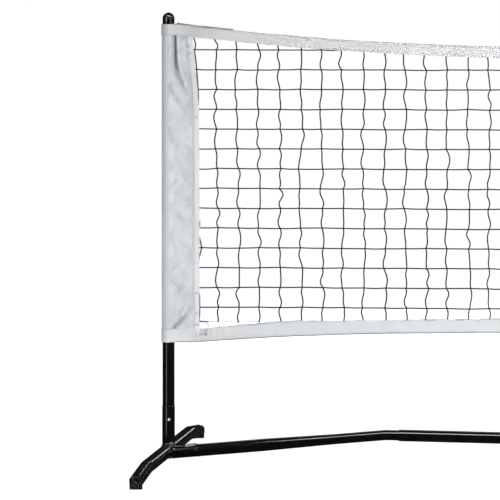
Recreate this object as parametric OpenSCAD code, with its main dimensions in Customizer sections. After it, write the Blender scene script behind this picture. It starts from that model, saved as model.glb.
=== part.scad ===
// Portable low net on a free-standing frame: two poles plugged into base feet,
// a plug-together bottom rail, and a banded net whose end sleeves slip over the poles.
// Origin on the ground under the middle of the net. +X along the net, +Y to the back, +Z up.

/* [Overall] */
// Distance between the pole axes
span = 3000; // [2600:50:3600]
// Height of the net's top edge at the poles
net_top = 915; // [880:5:950]
// Depth of the net at the poles, from top edge to bottom edge
net_depth = 663; // [640:1:680]
// How far the pole cap stands above the net's top edge
cap_rise = 24; // [20:1:40]

/* [Poles and sockets] */
// Outer diameter of the pole tube
pole_d = 24.4; // [23:0.1:25]
// Wall of the pole, the end rails and the feet
wall = 1.5; // [1.2:0.1:1.8]
// Outer diameter of the welded sockets
socket_d = 25.8; // [25.4:0.1:26.6]
// Wall of the sockets
socket_wall = 1.4; // [1.2:0.1:1.5]
// Height of the upright socket's open end
socket_top = 118.5; // [112:0.5:130]
// Depth to which the pole's plug reaches into the upright socket
pole_plug = 56; // [50:1:62]
// Distance of the pole's snap button below the socket's open end
pole_button_inset = 26.5; // [20:0.5:30]
// Diameter of the snap buttons
button_d = 6; // [6:0.2:7.4]

/* [Feet] */
// Outer diameter of the foot tube
foot_d = 28.6; // [26:0.1:29]
// Distance from the pole to each end of the foot tube
foot_reach = 270; // [262:1:276]
// Height of the foot tube's axis under the pole
foot_z = 27.2; // [27.2:0.1:30]
// Angle by which the foot's ends bend down
foot_bend = 8.2; // [6:0.1:8.5]
// Distance from the pole to the start of each foot bend
foot_straight = 184; // [184:1:210]
// Width of the square heads of the foot's end plugs
plug_head_w = 24; // [20:0.5:27]
// Thickness of the end plugs' heads
plug_head_t = 8; // [5:0.5:12]

/* [Bottom rail] */
// Height at which the rail's axis meets the pole's axis
rail_z = 20.8; // [20:0.1:24]
// Upward slope of the end rails, in degrees
rail_rise = 4.61; // [4:0.01:5]
// Downward slope of the middle rails towards the middle, in degrees
rail_fall = 1.45; // [0.5:0.01:1.8]
// Distance from the pole to the end rail's bend
rail_bend_s = 453; // [430:0.5:490]
// Outer diameter of the end rail at the socket
end_rail_d = 25.8; // [24:0.1:26.2]
// Outer diameter of the end rail's slim end
slim_d = 21.2; // [18:0.1:21.6]
// Outer diameter of the middle rails
mid_rail_d = 24; // [23.7:0.1:25]
// Distance from the pole's axis to the rail socket's open end
rail_socket_s = 64; // [58:0.5:70]
// Distance along the rail from its bend to the middle rail's open end
mid_rail_start = 28; // [15:1:35]
// Depth to which each rail plugs into the next
rail_plug = 48; // [42:1:60]

/* [Net] */
// Sag of the top band at the middle of the net
top_sag = 55; // [40:1:66]
// Rise of the bottom band at the middle of the net
bottom_rise = 21.3; // [12:0.1:32]
// Height of the top band
top_band_h = 23.5; // [21:0.5:30]
// Height of the bottom band
bottom_band_h = 26; // [25:0.5:34]
// Width of the mesh cells along the net
cell_w = 43.7; // [38:0.1:60]
// Thickness of the netting cord
cord_d = 2.4; // [1.4:0.1:2.6]
// Height of the webbing straps inside the bands
strap_h = 7; // [5:0.5:8]
// Width of each sleeve, from the pole's axis to its hem
sleeve_w = 64.5; // [56:0.5:66]
// Thickness of the sleeve and band fabric
cloth = 0.8; // [0.6:0.1:1]

/* [Hidden] */
$fn = 64;

steel = "#17181a";
polymer = "#222326";
fabric = "#d6dade";
cord = "#1c1d1f";
nickel = "#b9bbbd";
twine = "#c9cbcc";

half = span / 2;
net_bottom = net_top - net_depth;
fit = 0.1;                      // radial gap of a plug in the tube that receives it
weld_gap = 0.05;                // keeps welded tubes just clear of one another
swell = 0.05;                   // a bend's wall is this much thicker, each way, than its tube's
swell_run = 0.5;                // how far a straight tube ends inside a bend
bite = 1;                       // overshoot of a cutting solid past the face it opens
cutter = 2000;                  // side of the block that trims solids at the ground

pole_r = pole_d / 2;
pole_bore_r = pole_r - wall;
socket_r = socket_d / 2;
socket_bore_r = socket_r - socket_wall;
plug_r = socket_bore_r - fit;
plug_bore_r = plug_r - wall;
swage_h = 8;
cap_ring_h = 2;
cap_plug_h = 14;
cap_wall = 2;
pole_end = net_top + cap_rise - pole_r - cap_ring_h;

foot_r = foot_d / 2;
foot_bend_r = 40;
foot_tip_len = (foot_reach - foot_straight - foot_bend_r * sin(foot_bend)) / cos(foot_bend);
head_drop = 20;               // how far a plug's head reaches below the tube's axis, before trimming
head_chamfer = 4.5;
shank_len = 20;

socket_end = rail_socket_s / cos(rail_rise);
rail_plug_in = 42;
rail_socket_from = 7;
bend_at = rail_bend_s / cos(rail_rise);
kink = rail_rise + rail_fall;
kink_r = 60;
kink_run = kink_r * tan(kink / 2);
taper_from = 200;
taper_to = 345;
end_rail_r = end_rail_d / 2;
slim_r = slim_d / 2;
slim_wall = 1.2;
slim_bore_r = slim_r - slim_wall;
mid_r = mid_rail_d / 2;
mid_bore_r = slim_r + fit;
joint_gap = 0.35;               // lets the two middle rails meet at their slight angle
collar_h = 12;
rail_bend_z = rail_z + rail_bend_s * tan(rail_rise);
mid_len = (half - rail_bend_s) / cos(rail_fall);
centre_z = rail_bend_z - (half - rail_bend_s) * tan(rail_fall);
rail_button_s = socket_end - 5;
pole_button_z = socket_top - pole_button_inset;

button_r = button_d / 2;
button_gap = 0.08;
pole_button_turn = 16;          // how far the pole's button faces round towards the net
rail_button_turn = -20;         // how far the rail's button faces up
button_stand = 1.5;             // how far a button stands out of its socket
button_tip = 0.9;
flange_r = button_r + 1;
flange_y = sqrt(pow(plug_bore_r, 2) - pow(flange_r, 2)) - 0.1;
flange_t = 0.8;
rivet_r = 1.4;
rivet_len = 1.4;
clip_t = 0.7;
clip_w = 8;
clip_front = flange_y - flange_t - 0.1 - clip_t / 2;
clip_back = sqrt(pow(plug_bore_r, 2) - pow(clip_w / 2, 2)) - 0.15 - clip_t / 2;
clip_len = 24;
clip_foot = 5;
clip_nose = 2.4;

cord_r = cord_d / 2;
cord_gap = 0.03;                // rows lie in front of columns, this far apart
strap_y = 0.8;
strap_gap = 0.1;
pocket_y = cord_d + cord_gap / 2 + 0.15;
band_y = pocket_y + cloth;
sleeve_in = pole_r + 0.4;
sleeve_out = sleeve_in + cloth;
hem_s = 51;
hem_y = 1.4;
loop_in = sleeve_out + 0.15;
loop_out = loop_in + cloth;
loop_tip = sleeve_w - 0.5;
strip_s = sleeve_w + 1.5;       // where the bands' strips begin, clear of the sleeve's hem
strip_overlap = 4;
curve_steps = 30;
sag_power = 3.5;
rise_power = 6;
sag_from = 20;
rise_from = 52;
mesh_s = 56.6;
cell_count = round((span - 2 * mesh_s) / cell_w);
pitch = (span - 2 * mesh_s) / cell_count;
row_pitch = 41.3;
row_count = 14;
first_row = net_top - 54;
last_row = net_bottom + 42.3;
tuck = 10;                      // depth to which the netting is tucked into each band
eyelet_s = 78;
eyelet_z = net_bottom + 15.5;
eyelet_r = 4.6;
eyelet_barrel_r = 3.4;
eyelet_hole_r = 2.6;
eyelet_lip = 0.6;
tie_r = 0.8;
tie_bend_r = band_y + eyelet_lip + tie_r + 1.5;

// Share of the way from a curve's start, near the pole, to the middle of the net.
function along(x, start) = max(0, (half - abs(x) - start) / (half - start));
function top_z(x) = net_top - top_sag * (1 - pow(1 - along(x, sag_from), sag_power));
function bottom_z(x) = net_bottom + bottom_rise * (1 - pow(1 - along(x, rise_from), rise_power));
// How far along the net a row at height z runs from the sleeve before the top band swallows it.
function row_run(z) = let (drop = (net_top - tuck - cord_r - z) / top_sag)
    drop >= 1 ? half : sag_from + (half - sag_from) * (1 - pow(1 - drop, 1 / sag_power));
// X values from -x0 to x0, closest together near the poles, where the edges curve most.
function stations(x0) = [for (i = [-curve_steps:curve_steps])
    x0 * sign(i) * (1 - pow(1 - abs(i) / curve_steps, 1.6))];
// Outline of a loop around the pole that narrows to a flat tongue of half width y at s.
function teardrop(r, s, y, end) = let (a = acos((r - y) / s)) concat(
    [[end, -y], [end, y], [s, y]],
    [for (i = [0:16]) let (t = a + (360 - 2 * a) * i / 16) [r * cos(t), r * sin(t)]],
    [[s, -y]]);
function unit(v) = v / norm(v);
// Outline of a leaf of thickness t bent along the points p.
function leaf(p, t) = let (n = len(p) - 1, side = [for (i = [0:n])
        let (d = unit(p[min(n, i + 1)] - p[max(0, i - 1)])) [d.y, -d.x] * t / 2])
    concat([for (i = [0:n]) p[i] + side[i]], [for (i = [n:-1:0]) p[i] - side[i]]);

module at_left() { translate([-half, 0, 0]) children(); }
module at_right() { mirror([1, 0, 0]) at_left() children(); }
// Local +Z along the end rail's axis, from below the pole; -Y stays to the front.
module on_end_rail() { translate([0, 0, rail_z]) rotate([0, 90 - rail_rise, 0]) children(); }
// Local +Z along the middle rail's axis, from the end rail's bend.
module on_middle_rail() {
    translate([rail_bend_s, 0, rail_bend_z]) rotate([0, 90 + rail_fall, 0]) children();
}
module at_pole_button() {
    translate([0, 0, pole_button_z]) rotate([0, 0, pole_button_turn]) children();
}
module at_rail_button() {
    on_end_rail() translate([0, 0, rail_button_s]) rotate([0, 0, rail_button_turn]) children();
}
// Local +Z along one of the middle rails, from the middle of the net outwards.
module from_centre(way) {
    translate([0, 0, centre_z]) rotate([0, way * (90 - rail_fall), 0]) children();
}
module pipe(r, bore_r, h) {
    difference() {
        cylinder(r = r, h = h);
        translate([0, 0, -bite]) cylinder(r = bore_r, h = h + 2 * bite);
    }
}
// The hole for a snap button, through the wall at height z, turned from the front about the tube.
module button_hole(z, turn) {
    translate([0, 0, z]) rotate([90, 0, turn]) cylinder(r = button_r + button_gap, h = 2 * socket_r);
}

// ---- Feet and sockets ----

module ring(r, bore_r) {
    difference() {
        circle(r = r);
        circle(r = bore_r);
    }
}
// Local +Z along the rear tip of the foot tube, from the end of its bend.
module on_foot_tip() {
    translate([0, foot_straight, foot_z - foot_bend_r]) rotate([-foot_bend, 0, 0])
        translate([0, 0, foot_bend_r]) rotate([-90, 0, 0]) children();
}
module foot_end() {
    translate([0, foot_straight, foot_z - foot_bend_r]) rotate([0, -90, 0])
        rotate_extrude(angle = foot_bend) translate([foot_bend_r, 0])
            ring(foot_r + swell, foot_r - wall - swell);
    on_foot_tip() translate([0, 0, -swell_run])
        pipe(foot_r, foot_r - wall, foot_tip_len + swell_run);
}
module foot_tube() {
    color(steel) {
        translate([0, -foot_straight - swell_run, foot_z]) rotate([-90, 0, 0])
            pipe(foot_r, foot_r - wall, 2 * (foot_straight + swell_run));
        foot_end();
        mirror([0, 1, 0]) foot_end();
    }
}
// The straight part of the foot tube, with a little room around it.
module foot_clear() {
    translate([0, -foot_straight, foot_z]) rotate([-90, 0, 0])
        cylinder(r = foot_r + weld_gap, h = 2 * foot_straight);
}
// A push-in plug for the rear tip, its square head trimmed flat where it stands on the ground.
module end_plug() {
    w = plug_head_w / 2;
    color(polymer) difference() {
        on_foot_tip() translate([0, 0, foot_tip_len]) {
            translate([0, 0, -shank_len]) cylinder(r = foot_r - wall - fit, h = shank_len);
            linear_extrude(plug_head_t) polygon([
                [w - head_chamfer, -w], [w, head_chamfer - w], [w, head_drop], [-w, head_drop],
                [-w, head_chamfer - w], [head_chamfer - w, -w],
            ]);
        }
        translate([-cutter / 2, 0, -cutter]) cube(cutter);
    }
}
module upright_socket() {
    color(steel) difference() {
        translate([0, 0, foot_z]) cylinder(r = socket_r, h = socket_top - foot_z);
        cylinder(r = socket_bore_r, h = socket_top + bite);
        foot_clear();
        button_hole(pole_button_z, pole_button_turn);
    }
}
module rail_socket() {
    color(steel) difference() {
        on_end_rail() translate([0, 0, rail_socket_from])
            cylinder(r = socket_r, h = socket_end - rail_socket_from);
        on_end_rail() cylinder(r = socket_bore_r, h = socket_end + bite);
        foot_clear();
        translate([0, 0, foot_z]) cylinder(r = socket_r + weld_gap, h = socket_top);
        on_end_rail() button_hole(rail_button_s, rail_button_turn);
    }
}

// ---- Poles ----

module pole() {
    color(steel) difference() {
        union() {
            translate([0, 0, socket_top]) cylinder(r = pole_r, h = pole_end - socket_top);
            translate([0, 0, socket_top - pole_plug]) cylinder(r = plug_r, h = pole_plug);
        }
        translate([0, 0, socket_top - pole_plug - bite])
            cylinder(r = plug_bore_r, h = pole_plug + bite + wall);
        translate([0, 0, socket_top + wall]) cylinder(r1 = plug_bore_r, r2 = pole_bore_r, h = swage_h);
        translate([0, 0, socket_top + wall + swage_h]) cylinder(r = pole_bore_r, h = pole_end);
        button_hole(pole_button_z, pole_button_turn);
    }
}
module pole_cap() {
    color(polymer) translate([0, 0, pole_end]) {
        cylinder(r = pole_r, h = cap_ring_h);
        translate([0, 0, cap_ring_h]) intersection() {
            sphere(r = pole_r);
            cylinder(r = pole_d, h = pole_d);
        }
        translate([0, 0, -cap_plug_h])
            pipe(pole_bore_r - fit, pole_bore_r - fit - cap_wall, cap_plug_h);
    }
}

// ---- Snap buttons, each riveted to a leaf spring inside the tube it locks ----

module snap_button() {
    color(nickel) rotate([90, 0, 0]) {
        translate([0, 0, flange_y - flange_t - rivet_len]) cylinder(r = rivet_r, h = rivet_len);
        translate([0, 0, flange_y - flange_t]) cylinder(r = flange_r, h = flange_t);
        translate([0, 0, flange_y])
            cylinder(r = button_r, h = socket_r + button_stand - button_tip - flange_y);
        translate([0, 0, socket_r + button_stand - button_tip])
            cylinder(r1 = button_r, r2 = button_r - button_tip, h = button_tip);
    }
}
module snap_clip() {
    path = [
        [-clip_front, -clip_foot], [-clip_front, clip_foot], [-clip_nose, clip_len - clip_nose],
        [0, clip_len], [clip_nose, clip_len - clip_nose], [clip_back, -clip_foot],
    ];
    color(nickel) difference() {
        rotate([90, 0, 90]) translate([0, 0, -clip_w / 2]) linear_extrude(clip_w)
            polygon(leaf(path, clip_t));
        rotate([90, 0, 0]) cylinder(r = rivet_r + fit, h = socket_r);
    }
}

// ---- Bottom rail ----

module end_rail() {
    color(steel) on_end_rail() {
        difference() {
            union() {
                translate([0, 0, socket_end - rail_plug_in]) cylinder(r = plug_r, h = rail_plug_in);
                translate([0, 0, socket_end]) cylinder(r = end_rail_r, h = taper_from - socket_end);
                translate([0, 0, taper_from])
                    cylinder(r1 = end_rail_r, r2 = slim_r, h = taper_to - taper_from);
                translate([0, 0, taper_to])
                    cylinder(r = slim_r, h = bend_at - kink_run + swell_run - taper_to);
            }
            translate([0, 0, socket_end - rail_plug_in - bite])
                cylinder(r = plug_bore_r, h = rail_plug_in + bite + wall);
            translate([0, 0, socket_end + wall])
                cylinder(r1 = plug_bore_r, r2 = end_rail_r - wall, h = swage_h);
            translate([0, 0, socket_end + wall + swage_h])
                cylinder(r = end_rail_r - wall, h = taper_from - socket_end - wall - swage_h);
            translate([0, 0, taper_from])
                cylinder(r1 = end_rail_r - wall, r2 = slim_bore_r, h = taper_to - taper_from);
            translate([0, 0, taper_to]) cylinder(r = slim_bore_r, h = bend_at);
            button_hole(rail_button_s, rail_button_turn);
        }
        translate([kink_r, 0, bend_at - kink_run]) {
            rotate([90, 0, 0]) rotate([0, 0, 180 - kink])
                rotate_extrude(angle = kink) translate([kink_r, 0])
                    ring(slim_r + swell, slim_bore_r - swell);
            rotate([0, kink, 0]) translate([-kink_r, 0, -swell_run])
                pipe(slim_r, slim_bore_r, mid_rail_start + rail_plug - kink_run + swell_run);
        }
    }
}
module left_middle_rail() {
    color(steel) at_left() on_middle_rail() translate([0, 0, mid_rail_start])
        pipe(mid_r, mid_bore_r, mid_len - mid_rail_start - joint_gap);
}
// The right middle rail carries the plug that enters the left one.
module right_middle_rail() {
    color(steel) difference() {
        union() {
            from_centre(1) translate([0, 0, joint_gap])
                cylinder(r = mid_r, h = mid_len - mid_rail_start - joint_gap);
            from_centre(-1) translate([0, 0, -collar_h]) cylinder(r = slim_r, h = collar_h + rail_plug);
        }
        from_centre(1) translate([0, 0, collar_h]) cylinder(r = mid_bore_r, h = mid_len);
        from_centre(-1) translate([0, 0, -collar_h - bite])
            cylinder(r = slim_bore_r, h = collar_h + rail_plug + 2 * bite);
    }
}

// ---- Net ----

// A slab between two edge curves, of half thickness y, running past its ends by an extra length.
module slab(xs, high, low, y, extra) {
    n = len(xs) - 1;
    px = [for (i = [0:n]) i == 0 ? xs[i] - extra : i == n ? xs[i] + extra : xs[i]];
    rotate([90, 0, 0]) translate([0, 0, -y]) linear_extrude(2 * y) polygon(concat(
        [for (i = [0:n]) [px[i], high[i]]],
        [for (i = [n:-1:0]) [px[i], low[i]]]));
}
// The band's strip folded round the sleeve, ahead of the mesh.
module band_loop(z, h) {
    translate([0, 0, z]) linear_extrude(h) difference() {
        polygon(teardrop(loop_out, loop_tip, band_y, strip_s + strip_overlap));
        polygon(teardrop(loop_in, loop_tip, pocket_y, strip_s + strip_overlap + bite));
    }
}
module top_band() {
    xs = stations(half - strip_s);
    zs = [for (x = xs) top_z(x)];
    color(fabric) {
        difference() {
            slab(xs, zs, [for (z = zs) z - top_band_h], band_y, 0);
            slab(xs, [for (z = zs) z - cloth], [for (z = zs) z - top_band_h - bite], pocket_y, bite);
        }
        at_left() band_loop(net_top - top_band_h, top_band_h);
        at_right() band_loop(net_top - top_band_h, top_band_h);
    }
}
module bottom_band() {
    xs = stations(half - strip_s);
    zs = [for (x = xs) bottom_z(x)];
    color(fabric) difference() {
        union() {
            difference() {
                slab(xs, [for (z = zs) z + bottom_band_h], zs, band_y, 0);
                slab(xs, [for (z = zs) z + bottom_band_h + bite], [for (z = zs) z + cloth],
                    pocket_y, bite);
            }
            at_left() band_loop(net_bottom, bottom_band_h);
            at_right() band_loop(net_bottom, bottom_band_h);
        }
        at_left() eyelet_bore(eyelet_barrel_r + fit / 2);
        at_right() eyelet_bore(eyelet_barrel_r + fit / 2);
    }
}
module sleeve() {
    color(fabric) translate([0, 0, net_bottom]) linear_extrude(net_depth) difference() {
        polygon(teardrop(sleeve_out, hem_s, hem_y, sleeve_w));
        polygon(teardrop(sleeve_in, hem_s - bite, hem_y - cloth, hem_s));
    }
}
// A flat strap lying against a band's fold, with its lower edge at the heights given.
module strap(low) {
    slab(stations(half - strip_s - bite), [for (z = low) z + strap_h], low, strap_y, 0);
}
module head_strap() {
    color(cord) strap([for (x = stations(half - strip_s - bite)) top_z(x) - cloth - strap_gap - strap_h]);
}
module foot_strap() {
    color(cord) strap([for (x = stations(half - strip_s - bite)) bottom_z(x) + cloth + strap_gap]);
}
// A straight cord of the netting's rows, from a to b along X at height z.
module row(a, b, z) {
    translate([a, -cord_r - cord_gap / 2, z]) rotate([0, 90, 0]) cylinder(r = cord_r, h = b - a);
}
module row_cords() {
    start = sleeve_w + 0.5;
    color(cord) for (z = concat([for (i = [0:row_count - 1]) first_row - i * row_pitch], [last_row])) {
        run = row_run(z);
        if (run >= half) row(start - half, half - start, z);
        else {
            row(start - half, run - half, z);
            row(half - run, half - start, z);
        }
    }
}
module column_cords() {
    color(cord) for (i = [0:cell_count]) {
        x = max(strip_s + fit - half, min(half - strip_s - fit, mesh_s - half + i * pitch));
        low = bottom_z(x) + bottom_band_h - tuck;
        translate([x, cord_r + cord_gap / 2, low]) cylinder(r = cord_r, h = top_z(x) - tuck - low);
    }
}
// A bore of radius r through the bottom band, from front to back, at the corner eyelet.
module eyelet_bore(r) {
    translate([eyelet_s, 2 * band_y, eyelet_z]) rotate([90, 0, 0]) cylinder(r = r, h = 4 * band_y);
}
module eyelet_part(r, y, h) {
    translate([eyelet_s, y + h, eyelet_z]) rotate([90, 0, 0]) pipe(r, eyelet_hole_r, h);
}
module eyelet() {
    face = band_y + cord_gap;
    color(nickel) {
        eyelet_part(eyelet_barrel_r, -face, 2 * face);
        eyelet_part(eyelet_r, face, eyelet_lip);
        eyelet_part(eyelet_r, -face - eyelet_lip, eyelet_lip);
    }
}
// A loop of twine through the eyelet and over the lowest row.
module tie() {
    color(twine) translate([eyelet_s, 0, 0]) {
        translate([0, 0, last_row]) tie_bend();
        translate([0, 0, eyelet_z + tie_bend_r]) mirror([0, 0, 1]) tie_bend();
        for (y = [-tie_bend_r, tie_bend_r]) translate([0, y, eyelet_z + tie_bend_r])
            cylinder(r = tie_r, h = last_row - eyelet_z - tie_bend_r);
    }
}
module tie_bend() {
    rotate([90, 0, 90]) rotate_extrude(angle = 180) translate([tie_bend_r, 0]) circle(r = tie_r);
}

at_left() foot_tube();  // left_foot_tube
at_left() mirror([0, 1, 0]) end_plug();  // left_front_plug
at_left() end_plug();  // left_rear_plug
at_left() upright_socket();  // left_upright_socket
at_left() rail_socket();  // left_rail_socket
at_left() pole();  // left_pole
at_left() pole_cap();  // left_pole_cap
at_left() at_pole_button() snap_button();  // left_pole_button
at_left() at_pole_button() snap_clip();  // left_pole_clip
at_left() end_rail();  // left_end_rail
at_left() at_rail_button() snap_button();  // left_rail_button
at_left() at_rail_button() snap_clip();  // left_rail_clip
left_middle_rail();
at_left() sleeve();  // left_sleeve
at_left() eyelet();  // left_eyelet
at_left() tie();  // left_tie
at_right() foot_tube();  // right_foot_tube
at_right() mirror([0, 1, 0]) end_plug();  // right_front_plug
at_right() end_plug();  // right_rear_plug
at_right() upright_socket();  // right_upright_socket
at_right() rail_socket();  // right_rail_socket
at_right() pole();  // right_pole
at_right() pole_cap();  // right_pole_cap
at_right() at_pole_button() snap_button();  // right_pole_button
at_right() at_pole_button() snap_clip();  // right_pole_clip
at_right() end_rail();  // right_end_rail
at_right() at_rail_button() snap_button();  // right_rail_button
at_right() at_rail_button() snap_clip();  // right_rail_clip
right_middle_rail();
at_right() sleeve();  // right_sleeve
at_right() eyelet();  // right_eyelet
at_right() tie();  // right_tie
row_cords();
column_cords();
top_band();
bottom_band();
head_strap();
foot_strap();
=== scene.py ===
"""Looks for a portable low net on poles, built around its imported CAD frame.

Metres, +X along the net, +Y to the back, +Z up. "s" is the distance from a pole's axis
towards the middle of the net. The two sides mirror each other but draw their own folds.
"""

import math

import bmesh
import bpy
import numpy as np
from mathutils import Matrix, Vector


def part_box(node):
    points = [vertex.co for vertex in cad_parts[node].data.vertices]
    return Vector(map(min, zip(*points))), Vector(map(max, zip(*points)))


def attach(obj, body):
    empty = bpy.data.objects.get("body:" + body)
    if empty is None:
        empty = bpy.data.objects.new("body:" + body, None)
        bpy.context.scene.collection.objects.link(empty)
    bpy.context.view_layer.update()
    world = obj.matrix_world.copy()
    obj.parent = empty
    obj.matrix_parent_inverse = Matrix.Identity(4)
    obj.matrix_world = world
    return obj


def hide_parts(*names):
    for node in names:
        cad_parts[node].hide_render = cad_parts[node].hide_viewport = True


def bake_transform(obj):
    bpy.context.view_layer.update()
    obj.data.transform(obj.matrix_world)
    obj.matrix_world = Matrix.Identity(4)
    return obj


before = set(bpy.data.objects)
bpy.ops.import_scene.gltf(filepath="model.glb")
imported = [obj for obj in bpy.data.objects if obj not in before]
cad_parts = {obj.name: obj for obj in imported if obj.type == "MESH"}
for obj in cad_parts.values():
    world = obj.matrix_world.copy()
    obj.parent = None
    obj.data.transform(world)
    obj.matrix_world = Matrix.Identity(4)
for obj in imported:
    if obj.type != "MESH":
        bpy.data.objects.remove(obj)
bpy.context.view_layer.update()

MM = 0.001
SIDES = (("left", 1), ("right", -1))

# ---- Places read from the CAD frame ----

pole_lo, pole_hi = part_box("left_pole")
HALF = -(pole_lo.x + pole_hi.x) / 2
POLE_R = (pole_hi.x - pole_lo.x) / 2
sleeve_lo, sleeve_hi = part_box("left_sleeve")
NET_LOW, NET_TOP = sleeve_lo.z, sleeve_hi.z
SLEEVE_R = -HALF - sleeve_lo.x
HEM_S = sleeve_hi.x + HALF
foot_lo, foot_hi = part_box("left_foot_tube")
FOOT_R = (foot_hi.x - foot_lo.x) / 2
FOOT_Z = foot_hi.z - FOOT_R
socket_lo, socket_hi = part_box("left_upright_socket")
SOCKET_R = (socket_hi.x - socket_lo.x) / 2
SOCKET_TOP = socket_hi.z
CAD_CORD_R = 1.2 * MM
LAST_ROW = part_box("row_cords")[0].z + CAD_CORD_R
eyelet_lo, eyelet_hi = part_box("left_eyelet")
EYELET_S = (eyelet_lo.x + eyelet_hi.x) / 2 + HALF
EYELET_Z = (eyelet_lo.z + eyelet_hi.z) / 2
# the end rail leaves the pole at this height and slope, and its socket ends at this distance
RAIL_Z, RAIL_RISE = 20.8 * MM, math.radians(4.61)
RAIL_SOCKET_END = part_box("left_rail_socket")[1].x + HALF - SOCKET_R * math.sin(RAIL_RISE)


def edge_curve(node, pick):
    """Height of a band's outer edge along X, read from the CAD band, as a function of x."""
    co = np.array([v.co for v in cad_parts[node].data.vertices])
    keys = np.round(co[:, 0], 4)
    xs = np.unique(keys)
    zs = np.array([pick(co[keys == x, 2]) for x in xs])
    # the sleeves' loops and the eyelets' bores have edges of their own
    strip = np.abs(xs) <= HALF - HEM_S - 7 * MM
    strip &= np.abs(np.abs(xs) - HALF + EYELET_S) > 5 * MM
    return lambda x: np.interp(x, xs[strip], zs[strip])


top_edge = edge_curve("top_band", np.max)
low_edge = edge_curve("bottom_band", np.min)
TOP_H = 23.5 * MM
LOW_H = 26 * MM
STRIP_S = HEM_S + 1.5 * MM      # where the bands leave the sleeves
SLOPE_FROM = 12 * MM
TOP_DROP = NET_TOP - float(top_edge(STRIP_S - HALF))
LOW_LIFT = float(low_edge(STRIP_S - HALF)) - NET_LOW

# ---- Small helpers ----


def smooth(t):
    t = np.clip(t, 0, 1)
    return t * t * (3 - 2 * t)


def wander(values, seed, waves, span):
    """A smooth random curve of unit size: seeded sine waves, the shortest one span/waves long."""
    rng = np.random.default_rng(seed)
    values = np.asarray(values, float)
    out = np.zeros_like(values)
    total = 0
    for k in range(1, waves + 1):
        turns = k / span * rng.uniform(0.8, 1.2)
        out += np.sin(2 * np.pi * (values * turns + rng.uniform(0, 1))) / math.sqrt(k)
        total += 1 / k
    return out / math.sqrt(total)


def corner_share(s):
    """How far along the slope from the pole to the sleeve's hem a distance s lies, 0 to 1."""
    return np.clip((np.asarray(s) - SLOPE_FROM) / (STRIP_S - SLOPE_FROM), 0, 1)


def under_band(z, s):
    """Height of a sleeve point once its top and bottom edges follow the bands' slopes."""
    high = smooth((z - NET_TOP + 0.12) / 0.10)
    low = smooth((NET_LOW + 0.12 - z) / 0.10)
    return z + corner_share(s) * (LOW_LIFT * low - TOP_DROP * high)


def unit(v):
    return v / np.linalg.norm(v, axis=-1, keepdims=True)


def add_object(name, data):
    obj = bpy.data.objects.new(name, data)
    bpy.context.scene.collection.objects.link(obj)
    return obj


def mesh_object(name, verts, faces, uvs=None):
    mesh = bpy.data.meshes.new(name)
    mesh.from_pydata(np.asarray(verts, float).tolist(), [], faces)
    mesh.update()
    if uvs is not None:
        layer = mesh.uv_layers.new(name="UVMap")
        corner = np.zeros(len(mesh.loops), np.int32)
        mesh.loops.foreach_get("vertex_index", corner)
        layer.data.foreach_set("uv", np.asarray(uvs, np.float32)[corner].ravel())
    mesh.polygons.foreach_set("use_smooth", [True] * len(mesh.polygons))
    return add_object(name, mesh)


def grid_faces(columns, rows, closed=False):
    """Quads of a sheet whose vertices run column by column, each column with this many rows."""
    faces = []
    for i in range(columns if closed else columns - 1):
        j = (i + 1) % columns
        for k in range(rows - 1):
            a, b = i * rows + k, j * rows + k
            faces.append((a, b, b + 1, a + 1))
    return faces


def apply_modifiers(obj):
    graph = bpy.context.evaluated_depsgraph_get()
    done = bpy.data.meshes.new_from_object(obj.evaluated_get(graph))
    obj.modifiers.clear()
    obj.data = done
    done.polygons.foreach_set("use_smooth", [True] * len(done.polygons))


def thicken(obj, thickness):
    """Merges a sheet's touching points, turns its faces one way and gives it a real thickness."""
    bm = bmesh.new()
    bm.from_mesh(obj.data)
    bmesh.ops.remove_doubles(bm, verts=bm.verts, dist=0.05 * MM)
    bmesh.ops.recalc_face_normals(bm, faces=bm.faces)
    bm.to_mesh(obj.data)
    bm.free()
    solid = obj.modifiers.new("thickness", "SOLIDIFY")
    solid.thickness = thickness
    solid.offset = 0.0
    apply_modifiers(obj)


def finish_piece(obj, body, material, replaced=()):
    obj.data.materials.clear()
    obj.data.materials.append(material)
    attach(obj, body)
    if replaced:
        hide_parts(*replaced)
    return obj


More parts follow.
